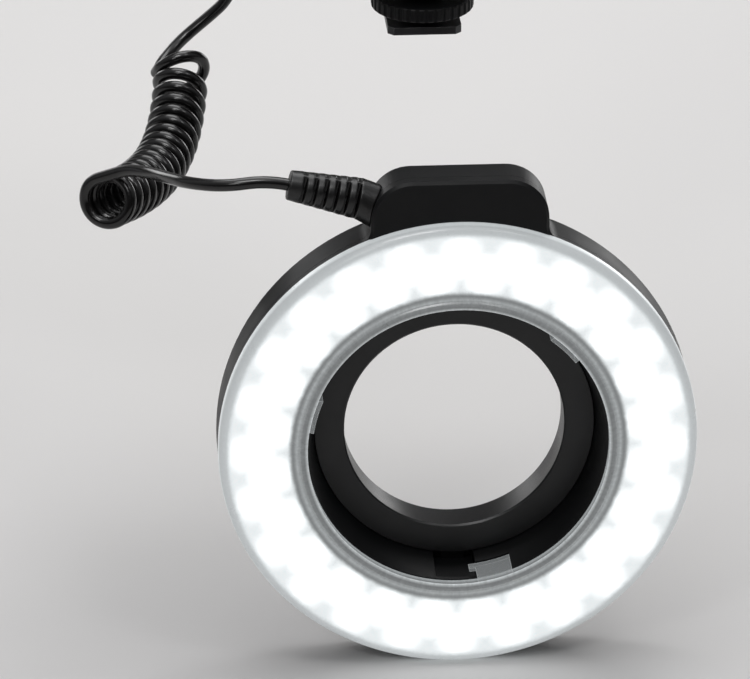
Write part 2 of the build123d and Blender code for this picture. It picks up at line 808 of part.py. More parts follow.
def make_case_main():
    body = slab(unit_outline(0), unit_front, cover_front - seam)
    body = fillet(body.edges().group_by(Axis.Y)[0], 2.0)
    body = body - slab(unit_outline(unit_wall), unit_front + unit_wall, cover_front + 1)
    for x, z in cover_bosses():
        body = body + (disc(boss_r, cover_front - case_boss, cover_front - seam, x, z)
                       & slab(unit_outline(0.5), unit_front, unit_back))
        body = body - disc(screw_r + run_fit, cover_front - screw_bite - 1, cover_front + 1, x, z)
    outlet, way = outlet_place()
    body = body - Plane(origin=outlet, z_dir=way) * Cylinder(neck_r + neck_slack, 4 * unit_wall)
    y0, y1, z0, z1 = door_box(0)
    right = unit_width / 2
    body = body - block(right - unit_wall - 1, right + 1, y0, y1, z0, z1)
    pin_x, pin_z = door_axis()
    for front, back in ((y0 - door_lug, y0), (y1, y1 + door_lug)):
        body = body + block(pin_x - knuckle_r, right - 0.5, front, back, pin_z - knuckle_r, pin_z + knuckle_r)
        body = body - disc(door_pin_r, front - 0.1, back + 0.1, pin_x, pin_z)
    body = body - post(stem_r + 0.15, unit_floor - 1, unit_floor + unit_wall + 1, 0, unit_front + foot_behind)
    parts["case_main"] = body


def door_axis():
    """Middle of the battery door's hinge pin, as x and z."""
    return unit_width / 2 - knuckle_r, holder_floor - knuckle_r - 0.4


def make_case_cover():
    body = slab(unit_outline(0), cover_front, unit_back)
    body = fillet(body.edges().group_by(Axis.Y)[-1], 2.0)
    body = body - slab(unit_outline(unit_wall), cover_front - 1, unit_back - unit_wall)
    for x, z in cover_bosses():
        body = body + (disc(boss_r, cover_front, unit_back - 1, x, z)
                       & slab(unit_outline(0.5), unit_front, unit_back))
        body = body - disc(screw_r + 0.2, cover_front - 1, unit_back + 1, x, z)
        body = body - disc(screw_head_r + 0.2, cover_front + screw_sink, unit_back + 1, x, z)
    half_w = lcd_width / 2 + window_margin
    half_h = lcd_height / 2 + window_margin
    body = body - block(-lcd_width / 2, lcd_width / 2, cover_front, unit_back + 1,
                        lcd_middle - lcd_height / 2, lcd_middle + lcd_height / 2)
    body = body - block(-half_w - 0.1, half_w + 0.1, unit_back - window_thick, unit_back + 1,
                        lcd_middle - half_h - 0.1, lcd_middle + half_h + 0.1)
    for x in button_places():
        body = body - disc(button_r + button_fit, cover_front, unit_back + 1, x, button_row)
    slot = switch_knob + switch_travel
    reach = switch_high / 2 + button_fit
    body = body - block(-slot / 2, slot / 2, cover_front, unit_back + 1, switch_row - reach,
                        switch_row + reach)
    body = body - disc(1.6, cover_front, unit_back + 1, status_x(), switch_row)
    parts["case_cover"] = body


def button_places():
    return [button_spacing * (number - 1.5) for number in range(4)]


def status_x():
    return switch_knob / 2 + switch_travel + 6.0


def make_case_screws():
    tip = cover_front - screw_bite
    screws = [cross_screw(x, z, tip, cover_front + screw_sink) for x, z in cover_bosses()]
    parts["case_screws"] = Compound(children=screws)


def make_battery_bay():
    low = holder_floor
    body = block(holder_left, holder_right, holder_front, holder_back, low, low + holder_high)
    body = body - block(holder_left + holder_wall, holder_right + 1, holder_front + holder_wall,
                        holder_back - holder_wall, low + holder_wall, low + holder_high - holder_wall)
    parts["battery_holder"] = body
    cells = []
    springs = []
    plates = []
    pitch = 2 * cell_r + cell_gap
    start = holder_left + holder_wall
    for row in range(2):
        for column in range(2):
            y = holder_front + holder_wall + cell_gap + cell_r + pitch * column
            z = low + holder_wall + cell_gap + cell_r + pitch * row
            nub_right = (row + column) % 2 == 0
            x0 = cell_end - cell_length - (cell_nub if nub_right else 0.0)
            cell = Pos(x0 + cell_length / 2, y, z) * Rot(0, 90, 0) * Cylinder(cell_r, cell_length)
            nub_at = x0 + cell_length + cell_nub / 2 if nub_right else x0 - cell_nub / 2
            cells.append(cell + Pos(nub_at, y, z) * Rot(0, 90, 0) * Cylinder(cell_nub_r, cell_nub + 0.02))
            plate = block(start + 0.05, start + 0.05 + contact_thick, y - 5.5, y + 5.5, z - 5.5, z + 5.5)
            plates.append(plate)
            coil = straight_spring(Vector(0, 0, 0), 3, cell_spring - 0.1, cell_spring_r, cell_spring_wire)
            springs.append(Pos(start + plate_room, y, z) * Rot(0, 90, 0) * coil)
    parts["aa_cells"] = Compound(children=cells)
    parts["battery_springs"] = Compound(children=springs)
    parts["battery_plates"] = Compound(children=plates)


def make_battery_door():
    right = unit_width / 2
    y0, y1, z0, z1 = door_box(-door_gap)
    pin_x, pin_z = door_axis()
    body = block(right - unit_wall, right, y0, y1, pin_z, z1)
    body = body + disc(knuckle_r, y0, y1, pin_x, pin_z)
    body = body - disc(door_pin_r + run_fit, y0 - 1, y1 + 1, pin_x, pin_z)
    grip = Pos(right + 1.1, (y0 + y1) / 2, z1 - 5.0) * Rot(90, 0, 0) * Cylinder(2.0, 12.0)
    parts["battery_door"] = body - grip
    pin_length = 8.0
    pins = [disc(door_pin_r, y0 - door_gap - door_lug, y0 - door_gap - door_lug + pin_length, pin_x, pin_z),
            disc(door_pin_r, y1 + door_gap + door_lug - pin_length, y1 + door_gap + door_lug, pin_x, pin_z)]
    parts["door_pins"] = Compound(children=pins)
    pitch = 2 * cell_r + cell_gap
    contacts = []
    for row in range(2):
        z = holder_floor + holder_wall + cell_gap + cell_r + pitch * row
        y = holder_front + holder_wall + cell_gap + cell_r
        contacts.append(block(contact_face, contact_face + contact_thick, y - 4.5, y + pitch + 4.5, z - 4.5,
                              z + 4.5))
    parts["door_contacts"] = Compound(children=contacts)


def make_board_stack():
    half = unit_width / 2 - unit_wall - 2 * boss_r - 1.0
    low = unit_floor + unit_chamfer + 3.0
    high = unit_top - unit_wall - 3.0
    parts["main_board"] = block(-half, half, board_y, board_y + 1.6, low, high)
    face = board_y + 1.6
    back = unit_back - window_thick
    parts["lcd_module"] = block(-lcd_width / 2 + 0.3, lcd_width / 2 - 0.3, face, back - 0.3,
                                lcd_middle - lcd_height / 2 + 0.3, lcd_middle + lcd_height / 2 - 0.3)
    half_w = lcd_width / 2 + window_margin
    half_h = lcd_height / 2 + window_margin
    parts["lcd_window"] = block(-half_w, half_w, back, unit_back, lcd_middle - half_h, lcd_middle + half_h)
    switches = []
    for x in button_places():
        body = block(x - 3, x + 3, face, face + 3.5, button_row - 3, button_row + 3)
        switches.append(body + disc(1.7, face + 3.4, face + 4.3, x, button_row))
    parts["tact_switches"] = Compound(children=switches)
    parts["slide_switch"] = block(-6, 6, face, face + 3.4, switch_row - 3, switch_row + 3)
    chips = [
        block(-12, -2, face, face + 1.4, low + 1.0, low + 7.0),
        block(4, 9, face, face + 1.1, low + 1.5, low + 6.5),
        disc(3.1, face, face + 5.0, 15.0, low + 4.6),
        block(-20, -16, face, face + 2.0, low + 1.5, low + 6.0),
    ]
    parts["board_parts"] = Compound(children=chips)
    parts["status_lens"] = disc(1.5, face, unit_back + 0.4, status_x(), switch_row)


def make_buttons():
    inside = unit_back - unit_wall
    for name, x in zip(("button_mode", "button_minus", "button_plus", "button_test"), button_places()):
        body = disc(button_r, inside - 0.2, unit_back + button_proud, x, button_row)
        body = fillet(body.edges().group_by(Axis.Y)[-1], 0.5)
        body = body + disc(button_r + 0.9, inside - 0.15 - button_flange, inside - 0.15, x, button_row)
        body = body + disc(1.5, board_y + 1.6 + 4.3 + button_travel + 0.15, inside - 0.5, x, button_row)
        parts[name] = body


def make_power_slider():
    inside = unit_back - unit_wall
    half = switch_knob / 2
    left = -(switch_knob + switch_travel) / 2 + button_fit
    high = switch_high / 2
    knob = block(left, left + switch_knob - button_fit, inside - 0.2, unit_back + 0.9, switch_row - high,
                 switch_row + high)
    ribs = [block(left + half + step - 0.3, left + half + step + 0.3, unit_back + 0.5, unit_back + 1.0,
                  switch_row - high - 0.1, switch_row + high + 0.1) for step in (-2.4, -1.2, 0.0, 1.2, 2.4)]
    plate = block(left - 1.4, left + switch_knob + 1.4, inside - 1.1, inside - 0.15, switch_row - high - 1.2,
                  switch_row + high + 1.2)
    stem = block(left + half - 1.2, left + half + 1.2, board_y + 5.4, inside - 1.0, switch_row - 1.5,
                 switch_row + 1.5)
    parts["power_slider"] = knob - ribs + plate + stem


def make_foot():
    middle = unit_front + foot_behind
    top = foot_base + foot_thick
    plate = block(-foot_width / 2, foot_width / 2, middle - foot_length / 2, middle + foot_length / 2,
                  foot_base, top)
    plate = chamfer(plate.edges().filter_by(Axis.Z).group_by(Axis.Y)[0], 1.5)
    stem_top = unit_floor + unit_wall + 0.2
    body = plate + post(stem_r, top - 0.1, stem_top, 0, middle)
    body = body + post(stem_r - 2, stem_top - 0.1, stem_top + 2.2, 0, middle)
    body = body - post(screw_r + 0.35 + run_fit, foot_base + 4, stem_top + 3, 0, middle)
    parts["shoe_foot"] = body
    bracket_half = unit_width / 2 - unit_chamfer - 1.5
    bracket = block(-bracket_half, bracket_half, middle - 8.0, middle + 8.0, stem_top, stem_top + 2.0)
    parts["foot_bracket"] = bracket - post(stem_r - 2 + 0.05, stem_top - 1, stem_top + 3, 0, middle)
    head = post(3.4, stem_top + 2.2, stem_top + 3.8, 0, middle)
    shank = post(screw_r + 0.35, foot_base + 5, stem_top + 2.3, 0, middle)
    parts["foot_screw"] = head + shank
    wheel_low = top + wheel_gap
    wheel = post(wheel_r, wheel_low, wheel_low + wheel_thick, 0, middle)
    wheel = fillet(wheel.edges().filter_by(GeomType.CIRCLE), 0.6)
    wheel = wheel - post(stem_r + run_fit, wheel_low - 1, wheel_low + wheel_thick + 1, 0, middle)
    teeth = []
    for number in range(wheel_teeth):
        x, y = polar(wheel_r + 0.35, 360.0 / wheel_teeth * number)
        teeth.append(post(0.75, wheel_low - 1, wheel_low + wheel_thick + 1, x, middle + y))
    parts["lock_wheel"] = wheel - teeth


make_diffuser()
make_front_frame()
make_rear_housing()
make_reflector_tray()
make_led_board()
make_leds()
make_adapter()
make_catch()
make_catch_spring()
make_tower_inside()
make_head_wires()
make_head_screws()
make_boots()
make_cord()
make_case_main()
make_case_cover()
make_case_screws()
make_battery_bay()
make_battery_door()
make_board_stack()
make_buttons()
make_power_slider()
make_foot()

os.makedirs("parts", exist_ok=True)
for name, shape in parts.items():
    export_step(shape, f"parts/{name}.step")
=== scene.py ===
import bpy
import bmesh
import math
from mathutils import Matrix, Vector


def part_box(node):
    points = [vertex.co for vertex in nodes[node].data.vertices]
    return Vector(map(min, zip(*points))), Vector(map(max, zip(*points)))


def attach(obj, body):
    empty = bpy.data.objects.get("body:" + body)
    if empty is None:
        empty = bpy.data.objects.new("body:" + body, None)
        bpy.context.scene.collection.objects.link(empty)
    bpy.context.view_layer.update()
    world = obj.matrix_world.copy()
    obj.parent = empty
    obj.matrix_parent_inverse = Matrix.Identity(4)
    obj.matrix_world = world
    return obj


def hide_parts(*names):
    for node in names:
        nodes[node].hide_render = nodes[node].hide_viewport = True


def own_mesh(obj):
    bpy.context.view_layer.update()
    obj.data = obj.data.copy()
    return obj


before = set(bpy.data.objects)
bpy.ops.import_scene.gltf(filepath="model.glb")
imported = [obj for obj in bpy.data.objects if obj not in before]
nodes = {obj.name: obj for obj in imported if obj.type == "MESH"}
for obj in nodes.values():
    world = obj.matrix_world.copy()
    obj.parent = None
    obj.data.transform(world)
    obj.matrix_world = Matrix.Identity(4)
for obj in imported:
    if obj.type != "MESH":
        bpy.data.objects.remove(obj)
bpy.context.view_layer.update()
mm = 0.001
mainBody = "head_and_unit"
rimPlane = -18.5 * mm  # y of the diffuser's rim
print("frame loaded,", len(nodes), "nodes")


def addItem(name, data):
    item = bpy.data.objects.new(name, data)
    bpy.context.scene.collection.objects.link(item)
    return item


def finishMesh(mesh, name):
    data = bpy.data.meshes.new(name)
    mesh.to_mesh(data)
    mesh.free()
    return data


# camera, fitted to the ring's outline in the photograph

camera = {
    "target": (0.0, rimPlane, 0.0),  # centre of the rim
    "right": (0.996, -0.086, 0.011),
    "up": (0.027, 0.427, 0.904),
    "distance": 1.6,
    "pixelsPerMetre": 4150.0,  # at the target
    "image": (750, 679),
    "targetPixel": (459.1, 449.0),
    "sensor": 36.0,
    "clip": (0.01, 20.0),
}


def makeCamera():
    right = Vector(camera["right"]).normalized()
    up = Vector(camera["up"])
    up = (up - right * up.dot(right)).normalized()
    back = right.cross(up)
    focal = camera["pixelsPerMetre"] * camera["distance"]  # in pixels
    width, height = camera["image"]
    seenX, seenY = camera["targetPixel"]
    seen = Vector((seenX - width / 2, height / 2 - seenY, -focal))
    turn = seen.rotation_difference(Vector((0, 0, -1))).to_matrix()
    base = Matrix((right, up, back)).transposed()
    data = bpy.data.cameras.new("photoCamera")
    data.sensor_width = camera["sensor"]
    data.lens = focal * camera["sensor"] / width
    data.clip_start, data.clip_end = camera["clip"]
    item = addItem("photoCamera", data)
    place = Vector(camera["target"]) + back * camera["distance"]
    item.matrix_world = Matrix.Translation(place) @ (base @ turn).to_4x4()
    bpy.context.scene.camera = item


makeCamera()
print("camera placed")


# node helpers for the finishes

def newMaterial(name, colour, roughness, metallic=0.0, specular=0.5):
    material = bpy.data.materials.new(name)
    material.use_nodes = True
    tree = material.node_tree
    shader = tree.nodes["Principled BSDF"]
    shader.inputs["Base Color"].default_value = (*colour, 1.0)
    shader.inputs["Roughness"].default_value = roughness
    shader.inputs["Metallic"].default_value = metallic
    shader.inputs["Specular IOR Level"].default_value = specular
    return material, tree, shader


def addPlace(tree):
    return tree.nodes.new("ShaderNodeTexCoord").outputs["Object"]


def addNoise(tree, place, size, detail=3.0):
    noise = tree.nodes.new("ShaderNodeTexNoise")
    noise.inputs["Scale"].default_value = 1.0 / size
    noise.inputs["Detail"].default_value = detail
    tree.links.new(place, noise.inputs["Vector"])
    return noise.outputs["Fac"]


def addCloud(tree, place, size, low, high, detail=3.0):
    return addRange(tree, addNoise(tree, place, size, detail), 0.3, 0.7, low, high)


def addRange(tree, value, fromLow, fromHigh, toLow, toHigh, smooth=False):
    node = tree.nodes.new("ShaderNodeMapRange")
    if smooth:
        node.interpolation_type = "SMOOTHSTEP"
    names = ("From Min", "From Max", "To Min", "To Max")
    for socket, number in zip(names, (fromLow, fromHigh, toLow, toHigh)):
        node.inputs[socket].default_value = number
    tree.links.new(value, node.inputs["Value"])
    return node.outputs["Result"]


def addMath(tree, operation, first, second=None):
    node = tree.nodes.new("ShaderNodeMath")
    node.operation = operation
    for socket, value in zip(node.inputs, (first, second)):
        if isinstance(value, (int, float)):
            socket.default_value = value
        elif value is not None:
            tree.links.new(value, socket)
    return node.outputs["Value"]


def addSum(tree, first, second):
    return addMath(tree, "ADD", first, second)


def addTimes(tree, first, second):
    return addMath(tree, "MULTIPLY", first, second)


def addMix(tree, share, first, second):
    node = tree.nodes.new("ShaderNodeMix")
    node.data_type = "RGBA"
    tree.links.new(share, node.inputs["Factor"])
    for index, value in ((6, first), (7, second)):  # the colour sockets
        if isinstance(value, tuple):
            node.inputs[index].default_value = (*value, 1.0)
        else:
            tree.links.new(value, node.inputs[index])
    return node.outputs[2]


def addBump(tree, height, depth, before=None):
    node = tree.nodes.new("ShaderNodeBump")
    node.inputs["Strength"].default_value = 1.0
    node.inputs["Distance"].default_value = depth
    tree.links.new(height, node.inputs["Height"])
    if before is not None:
        tree.links.new(before, node.inputs["Normal"])
    return node.outputs["Normal"]


def addEdges(tree, size):
    bevel = tree.nodes.new("ShaderNodeBevel")
    bevel.samples = 4
    bevel.inputs["Radius"].default_value = size
    shape = tree.nodes.new("ShaderNodeNewGeometry")
    dot = tree.nodes.new("ShaderNodeVectorMath")
    dot.operation = "DOT_PRODUCT"
    tree.links.new(bevel.outputs["Normal"], dot.inputs[0])
    tree.links.new(shape.outputs["Normal"], dot.inputs[1])
    return addRange(tree, dot.outputs["Value"], 0.97, 0.8, 0.0, 1.0)  # from 14 to 37 degrees off the surface


def addPolar(tree, place):
    split = tree.nodes.new("ShaderNodeSeparateXYZ")
    tree.links.new(place, split.inputs[0])
    x, y, z = split.outputs
    squares = addSum(tree, addTimes(tree, x, x), addTimes(tree, z, z))
    radius = addMath(tree, "SQRT", squares)
    turn = addMath(tree, "DIVIDE", addMath(tree, "ARCTAN2", z, x), 2 * math.pi)
    return radius, turn, y


plainLook = {  # what a finish has unless it says otherwise
    "metallic": 0.0,
    "specular": 0.5,
    "spread": 0.06,  # how far the roughness wanders
    "toneSize": 9 * mm,
    "smearSize": 14 * mm,
    "edgeNoiseSize": 1.6 * mm,
    "edge": 0.3 * mm,
    "more": {},
}


def makeFinish(name, look):
    look = {**plainLook, **look}
    rough, spread = look["roughness"], look["spread"]
    material, tree, shader = newMaterial(name, look["colour"], rough, look["metallic"], look["specular"])
    place = addPlace(tree)
    tone = addNoise(tree, place, look["toneSize"], 4.0)
    colour = addMix(tree, addRange(tree, tone, 0.35, 0.65, 0.0, 1.0), look["colour"], look["tone"])
    # lighter colour along the edges, broken up by noise: rubbed edges, and on the anodised ring also a
    # painted highlight line
    if "edgeColour" in look:
        edges = addEdges(tree, look["edge"])
        edgeNoise = addRange(tree, addNoise(tree, place, look["edgeNoiseSize"], 5.0), 0.38, 0.62, 0.2, 1.0)
        colour = addMix(tree, addTimes(tree, edges, edgeNoise), colour, look["edgeColour"])
    tree.links.new(colour, shader.inputs["Base Color"])
    smear = addCloud(tree, place, look["smearSize"], rough - spread, rough + spread, 5.0)
    tree.links.new(smear, shader.inputs["Roughness"])
    normal = addBump(tree, addNoise(tree, place, look["grain"], 2.0), look["depth"])
    if "rings" in look:  # turned marks about the ring's axis
        radius, _, depth = addPolar(tree, place)
        wave = addTimes(tree, addSum(tree, radius, depth), look["rings"])
        normal = addBump(tree, addMath(tree, "SINE", wave), look["ringDepth"], normal)
    tree.links.new(normal, shader.inputs["Normal"])
    for socket, value in look["more"].items():
        shader.inputs[socket].default_value = value
    return material


# finishes for the hard parts

finishes = {
    "satinShell": {  # fine moulded black of the ring head and the unit
        "colour": (0.0042, 0.0044, 0.0050), "tone": (0.0058, 0.0060, 0.0066), "edgeColour": (0.018, 0.018, 0.019),
        "roughness": 0.46, "spread": 0.05, "grain": 0.28 * mm, "depth": 0.010 * mm, "edge": 0.3 * mm,
        "specular": 0.2,
    },
    "boreBlack": {
        "colour": (0.0045, 0.0048, 0.0055), "tone": (0.006, 0.0063, 0.007), "edgeColour": (0.014, 0.014, 0.015),
        "roughness": 0.5, "grain": 0.3 * mm, "depth": 0.010 * mm, "specular": 0.25,
    },
    "anodisedBlack": {
        # its light edge colour is partly rubbed bare metal and partly a painted highlight line along the
        # edges
        "colour": (0.0065, 0.0068, 0.0075), "tone": (0.009, 0.0092, 0.01), "edgeColour": (0.09, 0.09, 0.095),
        "roughness": 0.36, "metallic": 0.15, "grain": 0.12 * mm, "depth": 0.004 * mm, "edge": 0.14 * mm,
        "rings": 26000.0, "ringDepth": 0.003 * mm,
    },
    "boardGreen": {
        "colour": (0.012, 0.11, 0.04), "tone": (0.016, 0.14, 0.05), "roughness": 0.3, "grain": 0.9 * mm,
        "depth": 0.02 * mm,
    },
    "boardWhite": {
        "colour": (0.80, 0.81, 0.79), "tone": (0.74, 0.76, 0.73), "roughness": 0.3, "grain": 0.9 * mm,
        "depth": 0.01 * mm,
    },
    "chipBlack": {
        "colour": (0.02, 0.02, 0.022), "tone": (0.03, 0.03, 0.032), "edgeColour": (0.08, 0.08, 0.08),
        "roughness": 0.55, "grain": 0.2 * mm, "depth": 0.01 * mm,
    },
    "innerBlack": {
        "colour": (0.025, 0.025, 0.027), "tone": (0.035, 0.035, 0.037), "edgeColour": (0.08, 0.08, 0.085),
        "roughness": 0.5, "grain": 0.35 * mm, "depth": 0.012 * mm,
    },
    "springSteel": {
        "colour": (0.58, 0.58, 0.56), "tone": (0.48, 0.48, 0.46), "roughness": 0.27, "metallic": 1.0,
        "grain": 0.15 * mm, "depth": 0.004 * mm,
    },
    "fixingSteel": {
        "colour": (0.16, 0.16, 0.165), "tone": (0.11, 0.11, 0.115), "edgeColour": (0.5, 0.5, 0.5),
        "roughness": 0.34, "metallic": 1.0, "grain": 0.2 * mm, "depth": 0.006 * mm, "edge": 0.12 * mm,
    },
    "contactMetal": {
        "colour": (0.72, 0.66, 0.48), "tone": (0.62, 0.57, 0.42), "roughness": 0.25, "metallic": 1.0,
        "grain": 0.4 * mm, "depth": 0.01 * mm,
    },
    "footBlack": {
        "colour": (0.02, 0.02, 0.021), "tone": (0.028, 0.028, 0.03), "edgeColour": (0.35, 0.35, 0.36),
        "roughness": 0.38, "metallic": 0.2, "grain": 0.25 * mm, "depth": 0.008 * mm, "edge": 0.25 * mm,
    },
    "keyRubber": {
        "colour": (0.035, 0.035, 0.038), "tone": (0.045, 0.045, 0.048), "edgeColour": (0.09, 0.09, 0.095),
        "roughness": 0.6, "grain": 0.22 * mm, "depth": 0.012 * mm, "edge": 0.4 * mm,
    },
    "wireRed": {
        "colour": (0.4, 0.02, 0.015), "tone": (0.33, 0.018, 0.012), "roughness": 0.35, "grain": 0.4 * mm,
        "depth": 0.008 * mm,
    },
    "statusRed": {
        "colour": (0.42, 0.02, 0.012), "tone": (0.5, 0.03, 0.02), "roughness": 0.15, "grain": 0.6 * mm,
        "depth": 0.004 * mm, "more": {"Coat Weight": 0.6, "Coat Roughness": 0.06},
    },
    "legendGrey": {
        "colour": (0.55, 0.56, 0.56), "tone": (0.48, 0.49, 0.49), "roughness": 0.5, "grain": 0.2 * mm,
        "depth": 0.008 * mm,
    },
}
made = {name: makeFinish(name, look) for name, look in finishes.items()}


def wear(name, *nodeNames):
    for nodeName in nodeNames:
        item = nodes[nodeName]
        if not item.material_slots:
            item.data.materials.append(None)
        for place in item.material_slots:
            place.link = "OBJECT"
            place.material = made[name]


wear("satinShell", "head_front_frame", "head_rear_housing")
wear("satinShell", "case_main", "case_cover", "battery_door", "lock_wheel")
wear("boreBlack", "adapter_catch")
wear("anodisedBlack", "adapter_ring")
wear("boardGreen", "driver_board", "main_board")
wear("boardWhite", "led_board")
wear("chipBlack", "driver_parts", "board_parts", "tact_switches", "slide_switch")
wear("innerBlack", "battery_holder", "cord_clamp")
wear("springSteel", "battery_springs")
wear("fixingSteel", "head_screws", "case_screws", "foot_screw", "foot_bracket", "door_pins")
wear("contactMetal", "battery_plates", "door_contacts")
wear("footBlack", "shoe_foot")
wear("keyRubber", "button_mode", "button_minus", "button_plus", "button_test", "power_slider")
wear("wireRed", "head_wires")
wear("statusRed", "status_lens")
print("hard finishes made")


# the lit ring: LEDs and their tray glow, the diffuser veils them

glow = {
    "count": 24,
    "outerRow": 50.95 * mm,
    "innerRow": 43.25 * mm,
    "outerShift": 0.5,  # in steps of the row
    "innerShift": 0.0,
    "cup": 4.7 * mm,
    "soft": 1.2 * mm,
    "outerReach": (2.3 * mm, 6.7 * mm),  # how far from an outer LED the face is full, and not lit by it
    "innerReach": (2.5 * mm, 6.9 * mm),
    "innerShine": 44.9 * mm,  # the inner row looks a little further out than it is
    "middle": (42.6 * mm, 46.4 * mm, 49.2 * mm, 53.0 * mm),  # between the rows the face is lit all round
    "lit": (0.955, 0.99, 1.0),
    "spot": 1.12,  # light of the face in front of an LED
    "gap": 0.69,  # light of the face between the LEDs
    "rowsFrom": (40.2 * mm, 41.7 * mm),  # the rows' light fades in and out here
    "rowsTo": (54.6 * mm, 56.3 * mm),
    "wander": 0.8 * mm,  # how uneven the spots' outlines are
    "wanderSize": 2.2 * mm,
    "trayGap": 0.7,
    "trayLight": 0.8,
    "chips": 3.0,
    "veil": 0.95,
    "tab": (36.40 * mm, 36.44 * mm),
    "tabCover": (0.42, 0.72),  # on a tab's face and on its edges
    "tabLight": (0.14, 0.32),
    "wall": (36.54 * mm, 36.58 * mm),  # the opening's own wall is as clear as the tabs
    "wallDepth": (rimPlane + 0.3 * mm, rimPlane + 0.5 * mm),
    "edge": 0.3 * mm,
    "streaks": 320.0,  # radial marks around the inner band
    "streakRows": 700.0,
    "streakReach": (38.2 * mm, 42.0 * mm),
    "streakDepth": 0.05 * mm,
}
# across the face beside the rows: radius in mm, its light (the LEDs' glow spread through the frosted face,
# with painted highlight lines at the opening's edge and at the outer edge), its grey (the frosted face's
# grey, lower over the inner band as painted shade)
faceBands = [
    # painted highlight line along the opening's edge
    (36.45, 0.46, 0.30),
    # from here to 40.6 mm the grey is lower: painted shade where the black frame lies behind the inner band
    (36.9, 0.26, 0.22),
    (37.3, 0.09, 0.17),
    (38.0, 0.11, 0.17),
    (38.6, 0.20, 0.18),
    (39.2, 0.29, 0.18),
    (39.7, 0.17, 0.18),
    (40.1, 0.12, 0.18),
    (40.6, 0.20, 0.20),
    (41.4, 0.44, 0.28),
    (54.4, 0.66, 0.38),
    (55.4, 0.54, 0.38),
    (56.2, 0.37, 0.38),
    (57.3, 0.30, 0.38),
    (57.75, 0.28, 0.36),
    # painted highlight line along the outer edge
    (58.0, 0.46, 0.40),
]


def addBands(tree, radius, column):
    low, high = faceBands[0][0] * mm, faceBands[-1][0] * mm
    share = addRange(tree, radius, low, high, 0.0, 1.0)
    node = tree.nodes.new("ShaderNodeFloatCurve")
    curve = node.mapping.curves[0]
    for index, band in enumerate(faceBands):
        spot = ((band[0] * mm - low) / (high - low), band[column])
        if index in (0, len(faceBands) - 1):
            point = curve.points[0 if index == 0 else -1]
            point.location = spot
        else:
            point = curve.points.new(*spot)
        point.handle_type = "VECTOR"
    node.mapping.update()
    tree.links.new(share, node.inputs["Value"])
    return node.outputs["Value"]


def addAway(tree, radius, turn, row, shift):
    step = addSum(tree, addTimes(tree, turn, glow["count"]), shift + glow["count"])
    along = addMath(tree, "SUBTRACT", addMath(tree, "FRACT", step), 0.5)
    along = addTimes(tree, along, 2 * math.pi * row / glow["count"])
    across = addMath(tree, "SUBTRACT", radius, row)
    return addMath(tree, "SQRT", addSum(tree, addTimes(tree, along, along),
                                         addTimes(tree, across, across)))


def addCups(tree, radius, turn):
    low, high = glow["cup"] - glow["soft"], glow["cup"] + glow["soft"]
    found = []
    for row, shift in (("outerRow", "outerShift"), ("innerRow", "innerShift")):
        away = addAway(tree, radius, turn, glow[row], glow[shift])
        found.append(addRange(tree, away, low, high, 1.0, 0.0, True))
    return addMath(tree, "MAXIMUM", *found)


def addShine(tree, radius, turn):  # the two rows' light together, as the frosted face spreads it
    found = []
    names = (("outerRow", "outerShift", "outerReach"), ("innerShine", "innerShift", "innerReach"))
    for row, shift, reach in names:
        away = addAway(tree, radius, turn, glow[row], glow[shift])
        found.append(addRange(tree, away, *glow[reach], 1.0, 0.0, True))
    low, lowFull, highFull, high = glow["middle"]
    middle = addTimes(tree, addRange(tree, radius, low, lowFull, 0.0, 1.0, True),
                      addRange(tree, radius, highFull, high, 1.0, 0.0, True))
    return addMath(tree, "MINIMUM", addMath(tree, "MAXIMUM", addSum(tree, *found), middle), 1.0)


def makeTrayFinish():
    material, tree, shader = newMaterial("trayWhite", (0.3, 0.3, 0.305), 0.5)
    place = addPlace(tree)
    radius, turn, _ = addPolar(tree, place)
    level = addMath(tree, "MAXIMUM", addCups(tree, radius, turn), glow["trayGap"])
    level = addTimes(tree, level, addCloud(tree, place, 3 * mm, 0.94, 1.0, 2.0))
    tree.links.new(addMix(tree, level, (0.0, 0.0, 0.0), glow["lit"]), shader.inputs["Emission Color"])
    shader.inputs["Emission Strength"].default_value = glow["trayLight"]
    tree.links.new(addBump(tree, addNoise(tree, place, 0.3 * mm), 0.01 * mm), shader.inputs["Normal"])
    return material


def makeChipFinish():
    material, tree, shader = newMaterial("ledPhosphor", (0.9, 0.8, 0.3), 0.3)
    place = addPlace(tree)
    speckle = addNoise(tree, place, 0.25 * mm, 3.0)
    colour = addMix(tree, addRange(tree, speckle, 0.3, 0.7, 0.0, 1.0), (1.0, 0.97, 0.9), (0.97, 0.98, 1.0))
    tree.links.new(colour, shader.inputs["Emission Color"])
    shader.inputs["Emission Strength"].default_value = glow["chips"]
    tree.links.new(addBump(tree, speckle, 0.02 * mm), shader.inputs["Normal"])
    return material


